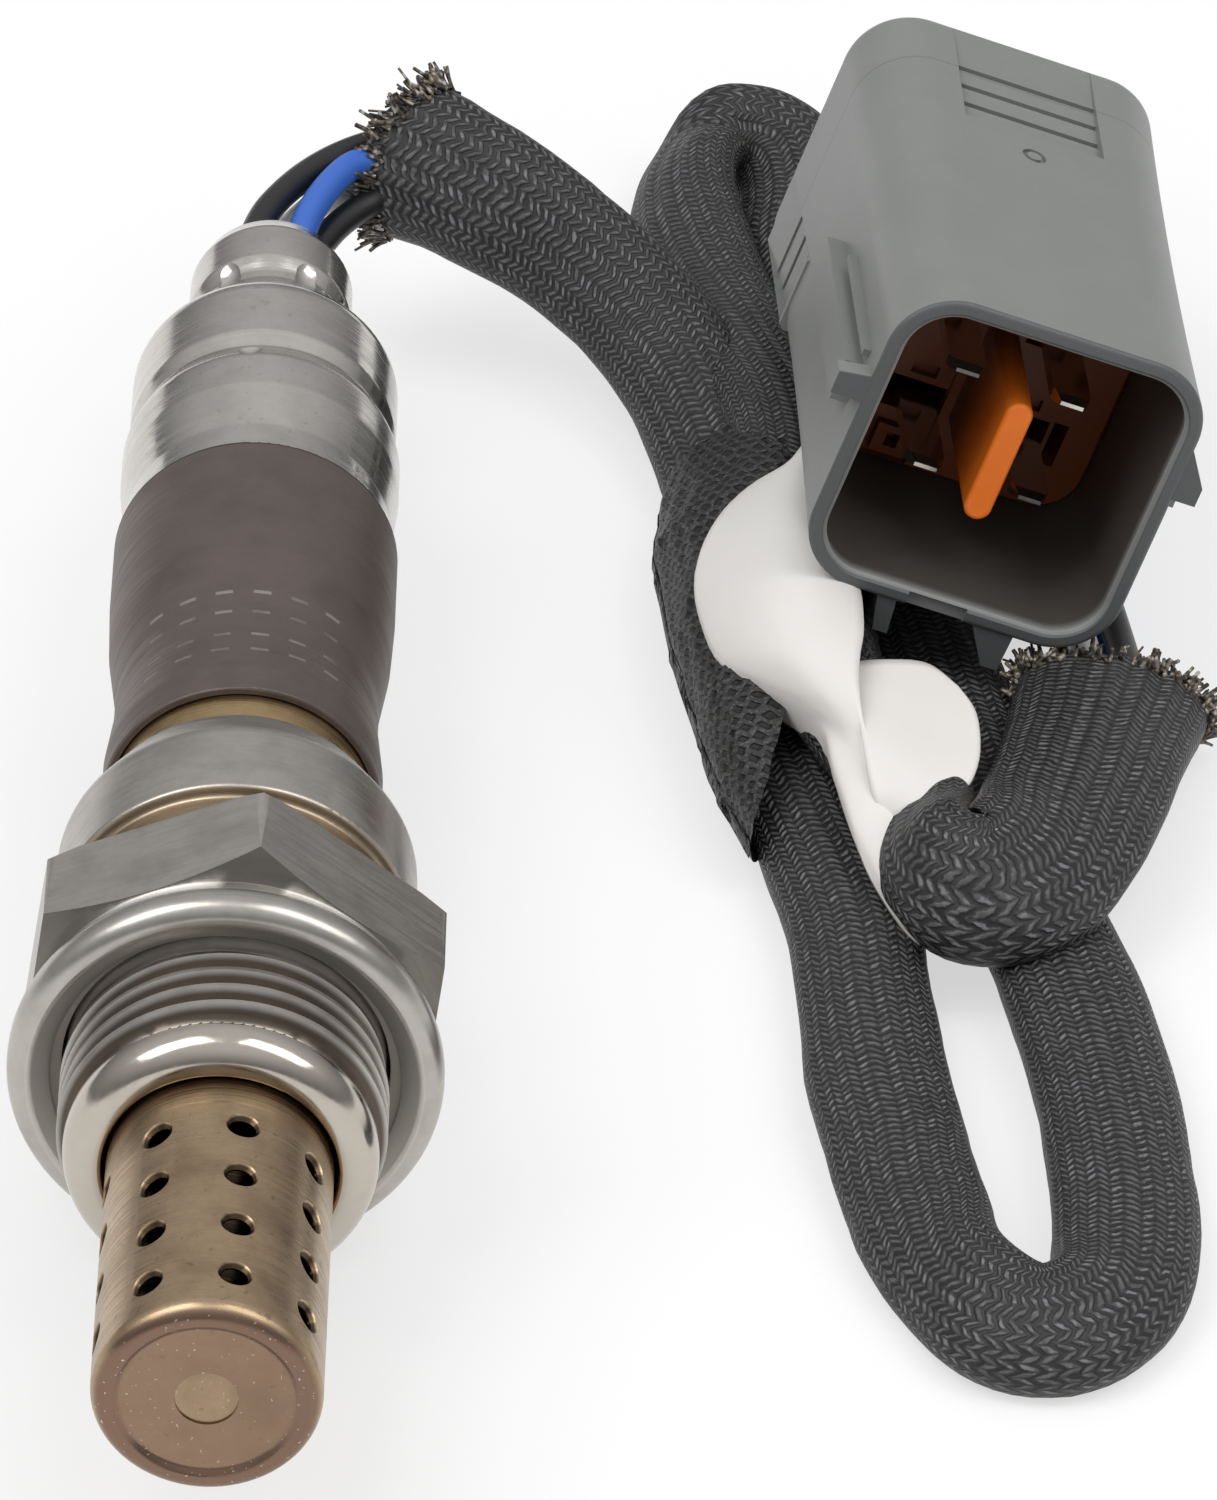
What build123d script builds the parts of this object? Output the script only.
"""Heated oxygen sensor with an M18 thread, a braided wiring sleeve and a square four-way plug.

Millimetres.  The origin is on the sensor's axis, in the sealing face of the gasket.
+Y runs along the sensor from the probe tip towards the wires, +Z is up, and the part
lies on the plane of the lowest hexagon corner.
"""
from build123d import *
from math import atan2, cos, degrees, radians, sin, sqrt, tan
import os

# ---------------------------------------------------------------- driving dimensions
# Stations are distances along Y from the gasket's sealing face.
THREAD_RADIUS = 9.0            # M18 x 1.5
THREAD_FRONT = -5.3            # where the thread runs out into the rounded nose
THREAD_END = 0.2
RELIEF_RADIUS = 8.7            # behind the thread, where the gasket is held captive
NOSE_FRONT = -8.0
NOSE_MOUTH_RADIUS = 6.5

GASKET_OUTER_RADIUS = 11.9
GASKET_INNER_RADIUS = 8.95
GASKET_THICKNESS = 2.5

FLANGE_RADIUS = 10.9           # turned seat under the hexagon
HEX_FRONT = 3.7
HEX_THICKNESS = 6.4
HEX_ACROSS_FLATS = 22.0
HEX_ROLL = -8.7                # degrees, clockwise seen from the probe
HEX_CHAMFER_ANGLE = 30.0

GROOVE_RADIUS = 9.3
COLLAR_FRONT = 14.0
COLLAR_RADIUS = 10.0
COLLAR_SHOULDER = 19.6
COLLAR_END = 23.4

INNER_SLEEVE_RADIUS = 7.3
BODY_SLEEVE_FRONT = 26.5
BODY_SLEEVE_END = 50.7
BODY_SLEEVE_RADIUS = 8.15
BODY_SLEEVE_WAIST = 7.45
SHEET_WALL = 0.4

COVER_END = 80.1
COVER_RADIUS = 7.75
NECK_RADIUS = 4.8
SEAM_STATION = 61.6

PROBE_RADIUS = 6.15
PROBE_TIP = -27.9
PROBE_WALL = 0.4
HOLE_DIAMETER = 1.9            # where the punched edge leaves the outside
HOLE_THROAT = 1.5
HOLE_COLUMNS = 8
HOLE_ROWS = 4
HOLE_FIRST_ROW = -11.6
HOLE_PITCH = 4.3
HOLE_PHASE = 14.3              # degrees of the column nearest the top, towards +X

WIRE_RADIUS = 0.9
WIRE_CIRCLE = 2.0              # radius of the circle of wires in the grommet
BUNDLE_OFFSET = 0.95           # half the spacing of the wires, two by two, in the sleeve
SLEEVE_TUBE_RADIUS = 2.2

FLOOR = -HEX_ACROSS_FLATS / sqrt(3) * cos(radians(HEX_ROLL))
BRAID_LEVEL = FLOOR + SLEEVE_TUBE_RADIUS

# plug housing, in its own frame: X right, Y up and Z out of the mouth
PLUG_MOUTH = Vector(43.0, 52.1, 5.0)
PLUG_YAW = -3.8                # degrees, turned left as it goes back
PLUG_ROLL = 21.6               # degrees, clockwise seen into the mouth
PLUG_PITCH = 5.8               # degrees that the back hangs lower than the mouth
PLUG_WIDTH = 19.25
PLUG_HEIGHT = 19.4
PLUG_LENGTH = 37.0
PLUG_CORNER = 4.0
PLUG_WALL = 1.05
PLUG_BACK_LIFT = 0.9           # how far the back's middle stands above the mouth's
SOCKET_DEPTH = 20.0
RETAINER_FACE = 13.8           # depth of the retainer's face behind the mouth
PIN_PITCH = 6.5
PIN_TIP_DEPTH = 5.0
BLADE_TIP_DEPTH = 2.3
SEAL_DEPTH = 7.0
SEAL_BORE_RADIUS = 1.76
RETAINER_GAP = 0.03            # between the retainer's edge and the socket's wall
PAD_LENGTH = 12.0              # finger recesses at the plug's back
PAD_SLOPE = 4.3                # degrees that a recess deepens towards its front
PAD_GROOVE_PITCH = 2.05

os.makedirs("parts", exist_ok=True)
parts = {}


# ---------------------------------------------------------------- helpers
def turned(*outline):
    """A solid turned about Y from (radius, station, corner radius) points of a closed outline."""
    points = [(radius, station) for radius, station, _ in outline]
    corners = [corner for _, _, corner in outline]
    profile = make_face(FilletPolyline(*points, radius=corners, close=True).edges())
    return revolve(profile, axis=Axis.Y)


def along_y(radius, low, high, x=0.0, z=0.0):
    """A round bar along Y."""
    bar = Cylinder(radius, high - low, align=(Align.CENTER, Align.CENTER, Align.MIN))
    return Pos(x, low, z) * Rot(-90, 0, 0) * bar


def arc_radii(points):
    """The corner radii of a cord: 0.45 of the shorter run over the tangent of half the turn."""
    radii = []
    for before, here, after in zip(points, points[1:], points[2:]):
        first, second = here - before, after - here
        half_turn = radians(first.get_angle(second)) / 2
        radii.append(0.45 * min(first.length, second.length) / tan(half_turn))
    return radii


def cord(name, points, radius):
    """A round cord of straight runs and tangent arcs, with its tightest radius and volume printed."""
    points = [Vector(point) for point in points]
    radii = arc_radii(points)
    path = FilletPolyline(*points, radius=radii)
    section = Plane(origin=path @ 0, z_dir=path % 0) * Circle(radius)
    solid = sweep(section, path=path)
    exact = Circle(radius).area * path.length
    print(f"{name}: length {path.length:.1f}, radii {', '.join(f'{r:.1f}' for r in radii)}, "
          f"volume over section x length {solid.volume / exact:.4f}")
    return solid


# ---------------------------------------------------------------- probe
def make_outer_shield():
    wall = PROBE_WALL
    shell = turned(
        (0, PROBE_TIP + 0.3, 0), (4.6, PROBE_TIP + 0.3, 0.4), (5.0, PROBE_TIP, 0.3),
        (PROBE_RADIUS, PROBE_TIP, 1.0), (PROBE_RADIUS, -5.2, 0), (PROBE_RADIUS - wall, -5.2, 0),
        (PROBE_RADIUS - wall, PROBE_TIP + 0.3 + wall, 0.6), (0, PROBE_TIP + 0.3 + wall, 0))
    for column in range(HOLE_COLUMNS):
        angle = HOLE_PHASE + column * 360 / HOLE_COLUMNS
        for row in range(HOLE_ROWS):
            drill = Cylinder(HOLE_THROAT / 2, 2.4)
            drill += Pos(0, 0, -0.1) * Cone(HOLE_THROAT / 2, HOLE_DIAMETER / 2 + 0.15, 0.4)
            station = HOLE_FIRST_ROW - row * HOLE_PITCH
            shell -= Pos(0, station, 0) * Rot(0, angle, 0) * Pos(0, 0, PROBE_RADIUS) * drill
    # a shallow round stamp in the middle of the tip
    return shell - along_y(1.7, PROBE_TIP, PROBE_TIP + 0.42)


def make_inner_shield():
    radius, wall, tip = 4.3, 0.35, PROBE_TIP + 3.0
    shell = turned((0, tip, 0), (radius, tip, 0.8), (radius, -6.0, 0), (PROBE_RADIUS - 0.5, -6.0, 0),
                   (PROBE_RADIUS - 0.5, -5.2, 0), (radius - wall, -5.2, 0), (radius - wall, tip + wall, 0.4),
                   (0, tip + wall, 0))
    for column in range(6):
        drill = Cylinder(0.75, 2.0)
        shell -= Pos(0, -9.0, 0) * Rot(0, column * 60, 0) * Pos(0, 0, radius) * drill
    return shell


def make_sensing_element():
    """A zirconia thimble, closed at the tip, with the flange that it hangs by."""
    return turned((0, -21.5, 0), (2.5, -21.5, 1.8), (2.9, -2.0, 0.5), (3.3, -0.5, 0.5), (4.9, 2.2, 0.4),
                  (4.9, 4.4, 0.4), (3.6, 6.0, 0.4), (3.6, 20.5, 0), (1.75, 20.5, 0), (1.75, -19.6, 1.0),
                  (0, -19.6, 0))


def make_heater_rod():
    return turned((0, -19.0, 0), (1.5, -19.0, 0.6), (1.5, 44.0, 0), (0, 44.0, 0))


# ---------------------------------------------------------------- housing
def make_threaded_housing():
    """Nose, thread, seat, hexagon and collar, turned and bored from one bar."""
    groove_end = COLLAR_FRONT
    hex_back = HEX_FRONT + HEX_THICKNESS
    body = turned(
        (NOSE_MOUTH_RADIUS, NOSE_FRONT, 0.25), (8.55, NOSE_FRONT, 1.7), (8.55, -5.9, 0.2), (8.2, -5.6, 0),
        (THREAD_RADIUS - 0.8, THREAD_FRONT, 0), (THREAD_RADIUS, THREAD_FRONT + 0.5, 0),
        (THREAD_RADIUS, THREAD_END, 0), (RELIEF_RADIUS, THREAD_END + 0.3, 0),
        (RELIEF_RADIUS, GASKET_THICKNESS, 0), (FLANGE_RADIUS, GASKET_THICKNESS, 0.2),
        (FLANGE_RADIUS, HEX_FRONT + 1.0, 0), (GROOVE_RADIUS, hex_back - 1.0, 0),
        (GROOVE_RADIUS, groove_end, 0.3), (COLLAR_RADIUS, groove_end, 0.3),
        (COLLAR_RADIUS, COLLAR_SHOULDER, 2.2), (8.2, COLLAR_END, 0.5),
        (INNER_SLEEVE_RADIUS + 0.05, COLLAR_END, 0), (INNER_SLEEVE_RADIUS + 0.05, 18.9, 0),
        (8.0, 18.9, 0), (8.0, 18.0, 0), (6.8, 18.0, 0), (6.8, 1.0, 0), (4.2, 1.0, 0),
        (4.2, -4.4, 0), (5.0, -5.0, 0), (PROBE_RADIUS + 0.03, -5.1, 0), (PROBE_RADIUS + 0.03, -7.4, 0))
    prism = extrude(RegularPolygon(HEX_ACROSS_FLATS / 2, 6, major_radius=False), HEX_THICKNESS)
    prism = Pos(0, HEX_FRONT, 0) * Rot(-90, 0, 0) * Rot(0, 0, HEX_ROLL) * prism
    corner_radius = HEX_ACROSS_FLATS / sqrt(3) + 0.2
    rise = (corner_radius - HEX_ACROSS_FLATS / 2 + 0.1) * tan(radians(HEX_CHAMFER_ANGLE))
    crown = turned((0, HEX_FRONT, 0), (HEX_ACROSS_FLATS / 2 - 0.1, HEX_FRONT, 0),
                   (corner_radius, HEX_FRONT + rise, 0), (corner_radius, hex_back - rise * 0.35, 0),
                   (HEX_ACROSS_FLATS / 2 + 0.9, hex_back, 0), (0, hex_back, 0))
    bore = along_y(8.6, HEX_FRONT - 1, hex_back + 1)
    return body + ((prism & crown) - bore)


def make_gasket_ring():
    """A folded crush gasket, dished between its outer bead and its inner lip."""
    inner, outer, thick = GASKET_INNER_RADIUS, GASKET_OUTER_RADIUS, GASKET_THICKNESS
    return turned((inner, 1.6, 0.1), (inner + 0.6, 0.6, 0.2), (outer - 1.25, 0, 0.5), (outer, 0, 1.1),
                  (outer, thick, 1.1), (inner, thick, 0.2))


def make_packing_washer():
    return turned((4.35, 1.05, 0), (6.75, 1.05, 0), (6.75, 1.75, 0), (4.8, 1.75, 0))


def make_powder_packing():
    return turned((4.95, 1.8, 0), (6.75, 1.8, 0), (6.75, 11.5, 0), (3.65, 11.5, 0), (3.65, 6.1, 0),
                  (4.95, 4.6, 0))


def make_ceramic_bush():
    return turned((3.65, 11.55, 0), (6.75, 11.55, 0.3), (6.75, 17.4, 0.3), (3.65, 17.4, 0))


def make_crimp_ring():
    return turned((5.0, 17.45, 0.3), (6.75, 17.45, 0.3), (6.75, 18.45, 0.3), (5.0, 18.45, 0.3))


# ---------------------------------------------------------------- covers
def make_inner_sleeve():
    """The golden-brown tube held in the collar, that carries the body sleeve."""
    outer, wall = INNER_SLEEVE_RADIUS, 0.35
    crimped = BODY_SLEEVE_WAIST - SHEET_WALL - 0.03
    return turned((outer, 19.2, 0), (outer, 29.0, 0.6), (crimped, 32.0, 0.6), (crimped, 39.5, 0),
                  (crimped - wall, 39.5, 0), (crimped - wall, 32.0, 0.4), (outer - wall, 29.0, 0.4),
                  (outer - wall, 19.2, 0))


def make_body_sleeve():
    front, end = BODY_SLEEVE_FRONT, BODY_SLEEVE_END
    full, waist, wall = BODY_SLEEVE_RADIUS, BODY_SLEEVE_WAIST, SHEET_WALL
    outside = [(full - 0.35, front, 0.15), (full - 0.3, front + 2.2, 1.5), (waist, front + 6.5, 3.0),
               (waist, front + 9.0, 3.0), (full - 0.15, front + 13.8, 3.0), (full, front + 18.0, 6.0)]
    outline = outside + [(full, end, 0.15), (full - wall, end, 0)]
    outline += [(radius - wall, station, corner) for radius, station, corner in reversed(outside)]
    outline[-1] = (full - 0.35 - wall, front, 0)
    return turned(*outline)


def cover_outline(inset):
    """The drawn cover from the sleeve to the wires: lower bulge, rolled seam, upper bulge and neck."""
    top = COVER_RADIUS
    return [
        (top - 0.05 - inset, 44.0, 0), (top - 0.05 - inset, 53.2, 2.0), (top + 0.3 - inset, 57.0, 2.5),
        (top + 0.3 - inset, 60.0, 1.6), (top - 0.35 - inset, SEAM_STATION + 0.15, 0.35),
        (top - inset, SEAM_STATION + 1.3, 1.0), (top - inset, 68.9, 2.3),
        (NECK_RADIUS + 0.15 - inset, 69.9, 0.9), (NECK_RADIUS - 0.05 - inset, 72.8, 0.6),
        (NECK_RADIUS - 0.4 - inset, 73.7, 0.5), (NECK_RADIUS - 0.4 - inset, 74.5, 0.5),
        (NECK_RADIUS + 0.02 - inset, 75.4, 0.6), (NECK_RADIUS - inset, 78.6, 0.9)]


def make_upper_cover():
    outline = cover_outline(0.0)
    outline += [(NECK_RADIUS - 0.55, COVER_END, 0.25), (NECK_RADIUS - 0.95, COVER_END, 0)]
    outline += list(reversed(cover_outline(SHEET_WALL)))
    cover = turned(*outline)
    # a staking dimple at the seam, just left of the top
    cover -= Pos(0, SEAM_STATION - 0.6, 0) * Rot(0, -4, 0) * Pos(0, 0, COVER_RADIUS + 0.88) * Sphere(1.2)
    # six crimps that squeeze the neck onto the grommet
    for dent in range(6):
        cover -= Pos(0, 74.1, 0) * Rot(0, 30 + 60 * dent, 0) * Pos(0, 0, NECK_RADIUS + 0.98) * Sphere(1.6)
    return cover


def make_rubber_grommet():
    body = turned((0, 70.4, 0), (3.75, 70.4, 0.4), (3.75, 79.4, 0.3), (0, 79.4, 0))
    for x, z in wire_places():
        body -= along_y(WIRE_RADIUS + 0.02, 70, 80, x, z)
    return body


def make_terminal_insulator():
    body = turned((0, 46.0, 0), (5.6, 46.0, 0.4), (5.6, 65.0, 0.4), (0, 65.0, 0))
    for x, z in wire_places():
        body -= Pos(x * 1.5, 55.5, z * 1.5) * Box(2.4, 20, 1.6)
    return body - along_y(1.6, 45, 50)


def make_contact_clip(x, z):
    """A folded strip from the insulator to the wire's crimp."""
    strip = Pos(x * 1.5, 55.0, z * 1.5) * Box(1.8, 14, 0.5)
    crimp = Pos(x, 67.0, z) * Rot(90, 0, 0) * (Cylinder(1.25, 3.4) - Cylinder(WIRE_RADIUS + 0.02, 3.4))
    neck = Pos(x * 1.25, 63.6, z * 1.25) * Box(1.2, 4.0, 0.5)
    return strip + neck + crimp


def wire_places():
    side = WIRE_CIRCLE / sqrt(2)
    return [(side, side), (-side, side), (side, -side), (-side, -side)]


# ---------------------------------------------------------------- harness
# The braided sleeve's centre line, from its mouth beside the sensor to its mouth under the plug.
SLEEVE_ROUTE = [
    (8.6, 93.0, -0.1), (12.6, 92.0, -0.8), (18.0, 89.2, -4.0), (22.8, 83.6, -7.3), (25.8, 74.6, -9.1),
    (27.4, 63.8, -9.6), (28.7, 52.0, -9.6), (31.0, 40.4, -9.6), (33.7, 29.2, BRAID_LEVEL),
    (35.0, 19.6, BRAID_LEVEL), (36.2, 10.4, BRAID_LEVEL), (37.6, 2.4, BRAID_LEVEL), (39.5, -4.8, BRAID_LEVEL),
    (43.4, -9.2, BRAID_LEVEL), (48.2, -6.8, BRAID_LEVEL), (49.4, 0.6, BRAID_LEVEL), (48.7, 9.6, BRAID_LEVEL),
    (47.6, 18.6, BRAID_LEVEL), (45.4, 28.0, BRAID_LEVEL), (42.6, 37.6, BRAID_LEVEL),
    (40.0, 50.4, BRAID_LEVEL), (37.9, 65.4, BRAID_LEVEL), (36.9, 81.6, BRAID_LEVEL),
    (36.7, 95.6, BRAID_LEVEL), (35.6, 104.8, BRAID_LEVEL), (33.9, 111.6, BRAID_LEVEL),
    (31.2, 115.0, BRAID_LEVEL), (27.2, 115.3, BRAID_LEVEL), (24.0, 112.6, BRAID_LEVEL),
    (23.5, 105.0, BRAID_LEVEL), (24.8, 97.2, BRAID_LEVEL), (27.9, 88.2, -9.8), (30.6, 76.6, -8.0),
    (31.1, 63.0, -5.8), (31.7, 51.0, -5.7), (33.2, 43.0, -5.7), (35.1, 38.4, -5.6), (36.4, 34.0, -5.5),
    (36.4, 29.6, -5.4), (38.8, 26.0, -5.4), (42.6, 25.4, -5.6), (45.4, 28.8, -5.9), (47.0, 35.6, -6.4),
    (48.3, 42.6, -7.6), (49.4, 49.6, -9.3)]

SLEEVE_ENDS = {"sensor": (SLEEVE_ROUTE[0], SLEEVE_ROUTE[1]), "plug": (SLEEVE_ROUTE[-1], SLEEVE_ROUTE[-2])}


def mouth(end, out):
    """A point on the sleeve's line, that far out of its mouth, with the ways right and up there."""
    tip, inner = (Vector(*point) for point in SLEEVE_ENDS[end])
    along = (tip - inner).normalized()
    right = Vector(0, 0, 1).cross(along).normalized()
    if end == "plug":
        right = -right
    up = along.cross(right).normalized()
    return tip + along * out, right, up if up.Z > 0 else -up


def wire_start(x, z):
    """One wire from its crimp in the sensor to the sleeve's mouth, beside the other three."""
    side = WIRE_CIRCLE / sqrt(2)
    right, up = x / side, z / side
    tip, across, lift = mouth("sensor", 0)
    outer = mouth("sensor", 3.9)[0]
    shift = (across * right + lift * up) * BUNDLE_OFFSET
    bend = Vector(1.5 + 0.88 * right, 91.2 - 0.52 * right, 0.25 + 1.1 * up)
    return [Vector(x, 66.0, z), Vector(x, 86.4, z), bend, outer + shift, tip + shift]


def plug_place():
    """The plug's mouth plane: X right, Y up and Z out of the mouth."""
    yaw, roll, pitch = radians(PLUG_YAW), radians(PLUG_ROLL), radians(PLUG_PITCH)
    back = Vector(sin(yaw) * cos(pitch), cos(yaw) * cos(pitch), -sin(pitch))
    level = Vector(cos(yaw), -sin(yaw), 0)
    right = level * cos(roll) - level.cross(back) * sin(roll)
    return Plane(origin=PLUG_MOUTH, x_dir=right, z_dir=-back)


def pin_places():
    half = PIN_PITCH / 2
    return [(half, half), (-half, half), (half, -half), (-half, -half)]


# The middle of the four wires under the plug and up into its back: each point, half the
# wires' spacing there, and the way in YZ that the lower wires lie from it.
LAST_LEAD = [
    ((48.8, 57.0, -10.45), 1.15, -90), ((47.0, 68.0, -10.6), 1.06, -90),
    ((45.4, 81.0, -10.6), 1.0, -90), ((44.2, 95.4, -10.7), 1.0, -74),
    ((42.8, 101.4, -8.6), 1.5, -34), ((41.6, 103.4, -4.4), 2.1, 15), ((40.8, 101.0, -0.6), 2.7, 58)]


def wire_end(x, y):
    """One wire from the sleeve's mouth to its pin; x and y are its place in the plug."""
    place = plug_place()
    right, outward = x / abs(x), y / abs(y)
    tip, across, lift = mouth("plug", 0)
    shift = (across * right - lift * outward) * BUNDLE_OFFSET
    points = [tip + shift, mouth("plug", 4.4)[0] + shift]
    for middle, spread, lean in LAST_LEAD:
        roll = PLUG_ROLL * (lean + 90) / 180
        across = Vector(right * spread, 0, 0).rotate(Axis.Y, roll)
        away = Vector(0, cos(radians(lean)), sin(radians(lean))).rotate(Axis.Y, roll) * (outward * spread)
        points.append(Vector(*middle) + across + away)
    points.append(place.from_local_coords(Vector(x, y, -PLUG_LENGTH - 5.5)))
    points.append(place.from_local_coords(Vector(x, y, -PLUG_LENGTH + 8.0)))
    return points


def make_wire(index, name):
    start = cord(name + " at the sensor", wire_start(*wire_places()[index]), WIRE_RADIUS)
    end = cord(name + " at the plug", wire_end(*pin_places()[index]), WIRE_RADIUS)
    return Compound([start.solid(), end.solid()])


# Where the band holds the two strands: station, lower strand's X and Z, upper strand's X and Z.
BAND_STATIONS = [(40.5, (30.95, -9.6), (34.3, -5.65)), (51.5, (28.85, -9.6), (31.8, -5.7)),
                 (62.0, (27.55, -9.6), (31.1, -5.9)), (72.0, (26.2, -9.4), (30.75, -7.3))]


def strand_hull(margin):
    """The two strands of the band together, thicker by a margin."""
    sections = []
    for station, (low_x, low_z), (high_x, high_z) in BAND_STATIONS:
        middle = ((low_x + high_x) / 2, station, (low_z + high_z) / 2)
        plane = Plane(origin=middle, x_dir=(1, 0, 0), z_dir=(0, -1, 0))
        across, rise = high_x - low_x, high_z - low_z
        slot = SlotCenterToCenter(sqrt(across ** 2 + rise ** 2), 2 * (SLEEVE_TUBE_RADIUS + margin))
        sections.append(plane * (Rot(0, 0, degrees(atan2(rise, across))) * slot))
    return loft(sections)


def make_tie_band():
    """The coarse braid that gathers the two strands beside the plug."""
    return strand_hull(0.7) - strand_hull(0.3)


def make_label_wrap():
    """The blank marker strip laid over the band and the upper strand."""
    strip = strand_hull(1.1) - strand_hull(0.75)
    return strip & (Pos(34.2, 53.5, -5.0) * Box(9.6, 22.0, 7.0))


# ---------------------------------------------------------------- plug
def plug_section(station, inset):
    """The plug's outline at a station, smaller by an inset."""
    share = -station / PLUG_LENGTH
    waist = 0.35 * sin(radians(180 * share))
    width = PLUG_WIDTH + 0.2 * share - waist - 2 * inset
    height = PLUG_HEIGHT - 0.7 * share - waist - 2 * inset
    return Pos(0, PLUG_BACK_LIFT * share, station) * RectangleRounded(width, height, PLUG_CORNER - inset)


def socket_section(station, clearance=0.0):
    """The socket's outline at a station, narrowing slightly towards its floor."""
    return plug_section(station, PLUG_WALL + clearance - 0.016 * station)


def finger_recess(half_span):
    """A ramp that deepens towards its front, with a groove at its front edge and three behind."""
    ramp = Box(2 * half_span, 2.0, PAD_LENGTH, align=(Align.CENTER, Align.MIN, Align.MIN))
    for row in range(4):
        ramp += Pos(0, 0, PAD_LENGTH - 0.25 - row * PAD_GROOVE_PITCH) * Box(2 * half_span, 0.7, 0.5)
    return Rot(PAD_SLOPE, 0, 0) * ramp


def make_connector_housing():
    outside = loft([plug_section(-share * PLUG_LENGTH, 0.0) for share in (0.0, 0.5, 1.0)])
    outside = fillet(outside.faces().sort_by(Axis.Z)[0].edges(), 1.4)
    outside = fillet(outside.faces().sort_by(Axis.Z)[-1].edges(), 0.3)
    body = outside - loft([socket_section(-share * SOCKET_DEPTH) for share in (0.0, 0.5, 1.0)])
    body -= loft([plug_section(-0.3, PLUG_WALL), plug_section(0.0, PLUG_WALL - 0.3)])
    for x, y in pin_places():
        body -= Pos(x, y, -PLUG_LENGTH) * Cylinder(SEAL_BORE_RADIUS, 2 * SEAL_DEPTH)
        body -= Pos(x, y, -(SOCKET_DEPTH + PLUG_LENGTH - SEAL_DEPTH) / 2) * Box(2.6, 2.1, 12)
    # finger recesses at the back: one in the top, and one on a flat low on each side
    side = PLUG_WIDTH / 2 + 0.05
    top = PLUG_HEIGHT / 2 - 0.35 + PLUG_BACK_LIFT
    for sign in (1, -1):
        flat = Pos(sign * (side - 1.5), -4.2, -PLUG_LENGTH + 6.9) * Box(3.0, 5.0, 11.2)
        body += chamfer(flat.edges().filter_by(Axis.Z), 0.3)
        body -= Rot(0, 0, -90 * sign) * Pos(4.2 * sign, side, -PLUG_LENGTH) * finger_recess(2.3)
    body -= Pos(0.05, top, -PLUG_LENGTH) * finger_recess(4.4)
    # a long key bar with a thin one above it on both sides
    for sign in (1, -1):
        body += Pos(sign * (side + 0.25), 1.3, -10.8) * Box(1.5, 2.6, 15.6)
        body += Pos(sign * (side - 0.05), 3.5, -8.75) * Box(0.8, 0.4, 11.9)
    # stops at the mouth: a block on the left and a wedge on the right
    left = make_face(Polyline((-side + 0.4, 1.7), (-11.5, 1.7), (-11.5, 3.1), (-side + 0.4, 3.4), close=True))
    right = make_face(Polyline((side - 0.4, 1.8), (11.0, 1.8), (11.0, 3.0), (side - 0.4, 5.6), close=True))
    body += Pos(0, 0, -1.6) * extrude(left + right, 1.5)
    # two tapered feet under the mouth, and the set-back part of the rim between them
    low = -PLUG_HEIGHT / 2 + 0.3
    left = make_face(Polyline((-4.1, low), (-2.9, low), (-2.6, -11.85), (-3.5, -11.85), close=True))
    right = make_face(Polyline((1.7, low), (4.4, low), (4.3, -12.0), (3.3, -12.0), close=True))
    body += Pos(0, 0, -8.6) * extrude(left + right, 8.4)
    body -= Pos(-0.6, low, 0) * Box(3.6, 1.2, 0.9)
    # the moulding gate's mark
    body -= Pos(-0.2, top - 0.35, -22.4) * Rot(90, 0, 0) * (Cylinder(0.75, 0.5) - Cylinder(0.45, 0.5))
    return plug_place().location * body


def make_terminal_retainer():
    """The orange insert behind the pins: a windowed plate, its frame and the polarising blade."""
    thick = 2.4
    back = RETAINER_FACE + thick
    depths = [RETAINER_FACE, (RETAINER_FACE + back) / 2, back]
    plate = loft([socket_section(-depth, RETAINER_GAP) for depth in depths])
    plate = chamfer(plate.faces().sort_by(Axis.Z)[-1].edges(), 0.2)
    depth = SOCKET_DEPTH - back
    frame = Pos(0, 0.3, -back - depth / 2) * (Box(14.6, 14.0, depth) - Box(12.4, 11.8, depth))
    body = plate + frame
    for x, y in pin_places():
        body -= Pos(x, y, -RETAINER_FACE) * Box(3.4, 2.1, 5)
        body -= Pos(x, y + 1.85, -RETAINER_FACE) * Box(1.6, 0.8, 1.2)
    # slots beside the pins, and the square frame with its hole low on the left
    for x, y in ((-5.6, -2.9), (1.4, -5.4), (-1.4, -4.0), (5.65, -3.5)):
        body -= Pos(x, y, -RETAINER_FACE) * Box(0.9, 2.8, 5)
    body -= Pos(-3.5, -6.4, -RETAINER_FACE) * (Box(2.8, 2.6, 1.4) - Box(2.0, 1.8, 1.4))
    body -= Pos(-3.4, -6.4, -RETAINER_FACE) * Box(0.8, 0.9, 3.0)
    body -= Pos(6.4, 5.2, -RETAINER_FACE) * Box(2.0, 3.0, 3.0)
    blade = extrude(SlotOverall(7.9, 1.65, rotation=90), RETAINER_FACE - BLADE_TIP_DEPTH)
    blade = fillet(blade.faces().sort_by(Axis.Z)[-1].edges(), 0.3)
    body += Pos(-0.1, -0.35, -RETAINER_FACE - 0.01) * blade
    body += Pos(-0.1, -0.35, -RETAINER_FACE) * Box(2.8, 8.6, 0.8)
    return plug_place().location * body


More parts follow.
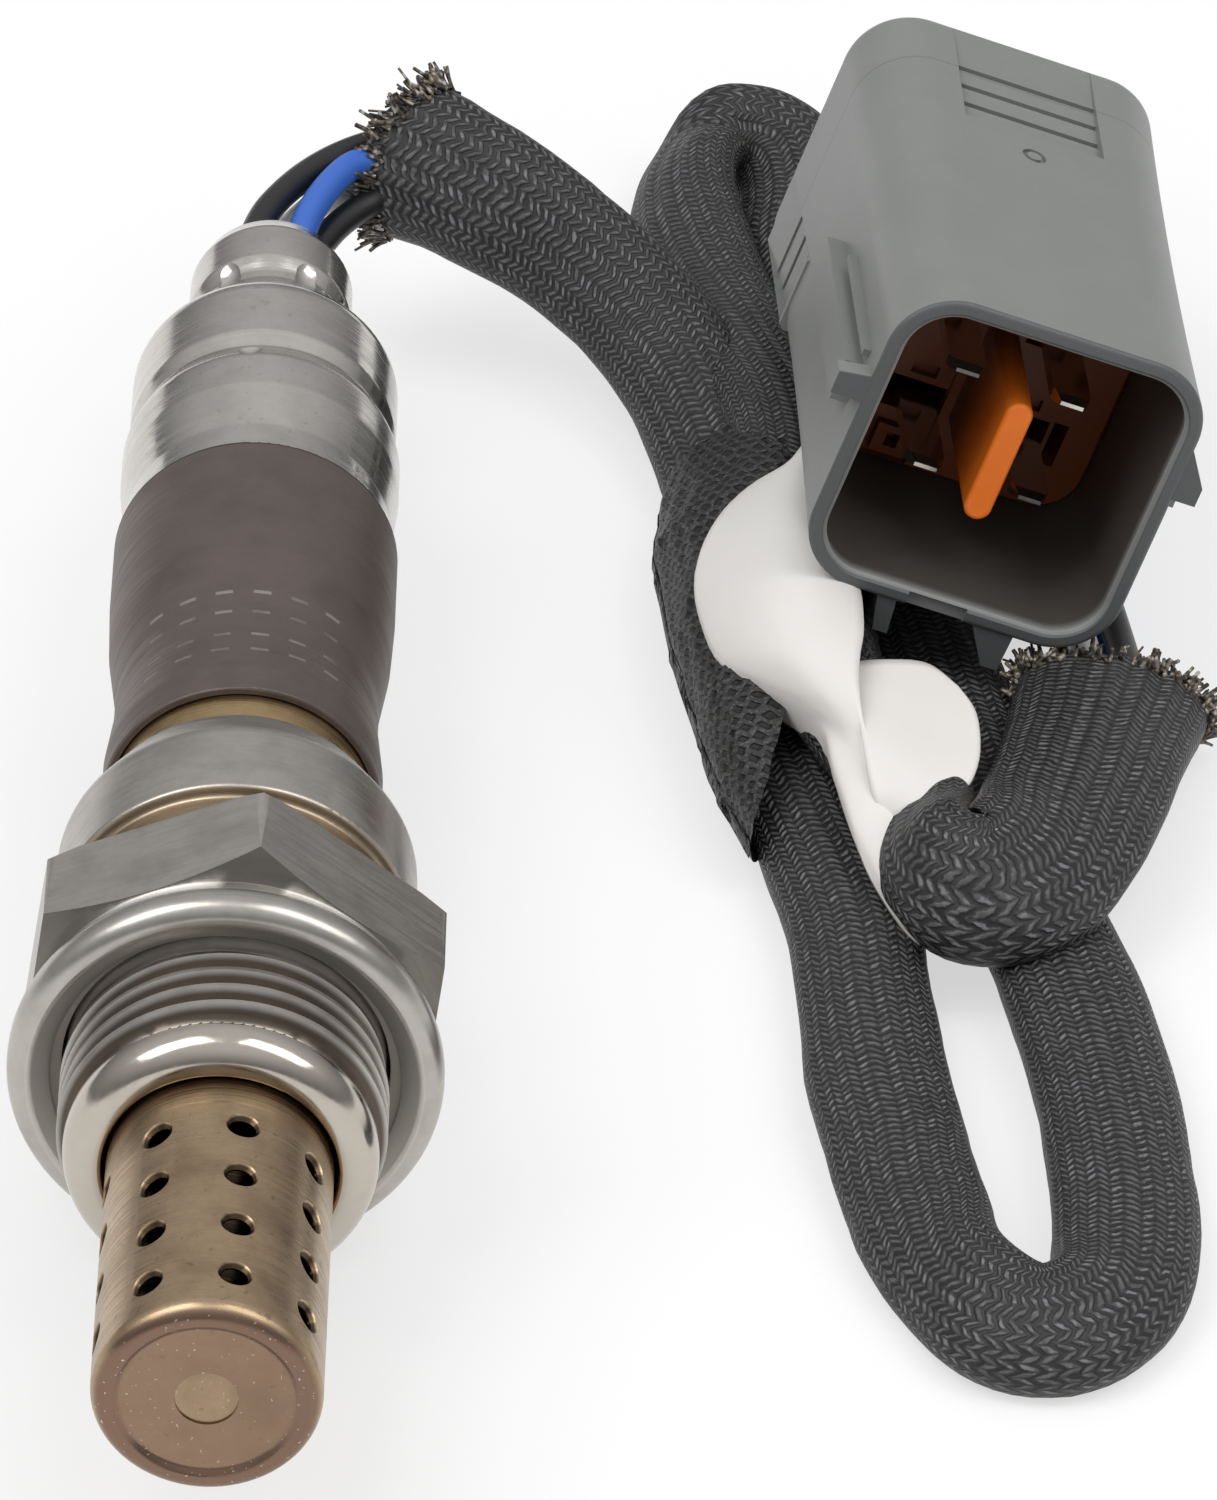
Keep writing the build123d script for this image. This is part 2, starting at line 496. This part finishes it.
def make_terminal_pin(x, y):
    """A flat male pin with a tapered tip and the barrel that its wire is crimped in."""
    tip, shoulder, barrel_end = -PIN_TIP_DEPTH, -SOCKET_DEPTH - 2.0, -PLUG_LENGTH + 8.0
    wide = Polyline((-1.15, shoulder), (-1.15, tip - 1.1), (-0.7, tip), (0.7, tip), (1.15, tip - 1.1),
                    (1.15, shoulder), close=True)
    thin = Polyline((-0.32, shoulder), (-0.32, tip - 0.7), (-0.12, tip), (0.12, tip), (0.32, tip - 0.7),
                    (0.32, shoulder), close=True)
    flat = Rot(90, 0, 0) * extrude(make_face(wide), 1.0, both=True)
    flat &= Rot(0, 0, 90) * Rot(90, 0, 0) * extrude(make_face(thin), 2.0, both=True)
    barrel = Pos(0, 0, (shoulder + barrel_end) / 2) * Box(2.0, 1.5, shoulder - barrel_end)
    return plug_place().location * (Pos(x, y, 0) * (flat + barrel))


def make_wire_seal(x, y):
    """A ribbed rubber seal round one wire at the plug's back."""
    seal = Cylinder(1.72, SEAL_DEPTH - 0.6)
    for groove in (-1.6, 0.0, 1.6):
        seal -= Pos(0, 0, groove) * (Cylinder(2.0, 0.5) - Cylinder(1.45, 0.5))
    seal -= Cylinder(WIRE_RADIUS + 0.02, SEAL_DEPTH)
    middle = -PLUG_LENGTH + (SEAL_DEPTH - 0.6) / 2 + 0.1
    return plug_place().location * (Pos(x, y, middle) * seal)


# ---------------------------------------------------------------- all the pieces
parts["outer_shield"] = make_outer_shield()
parts["inner_shield"] = make_inner_shield()
parts["sensing_element"] = make_sensing_element()
parts["heater_rod"] = make_heater_rod()
parts["threaded_housing"] = make_threaded_housing()
parts["gasket_ring"] = make_gasket_ring()
parts["packing_washer"] = make_packing_washer()
parts["powder_packing"] = make_powder_packing()
parts["ceramic_bush"] = make_ceramic_bush()
parts["crimp_ring"] = make_crimp_ring()
parts["inner_sleeve"] = make_inner_sleeve()
parts["body_sleeve"] = make_body_sleeve()
parts["upper_cover"] = make_upper_cover()
parts["rubber_grommet"] = make_rubber_grommet()
parts["terminal_insulator"] = make_terminal_insulator()
for number, place in enumerate(wire_places(), start=1):
    parts[f"contact_clip_{number}"] = make_contact_clip(*place)

for index, wire in enumerate(("wire_blue", "wire_black_left", "wire_black_right", "wire_white")):
    parts[wire] = make_wire(index, wire)
parts["braided_sleeve"] = cord("braided_sleeve", SLEEVE_ROUTE, SLEEVE_TUBE_RADIUS)
parts["tie_band"] = make_tie_band()
parts["label_wrap"] = make_label_wrap()

parts["connector_housing"] = make_connector_housing()
parts["terminal_retainer"] = make_terminal_retainer()
for number, place in enumerate(pin_places(), start=1):
    parts[f"terminal_pin_{number}"] = make_terminal_pin(*place)
    parts[f"wire_seal_{number}"] = make_wire_seal(*place)

for node, shape in parts.items():
    export_step(shape, f"parts/{node}.step")
    print(f"{node}: {len(shape.solids())} solid, {shape.volume:.1f} mm3")
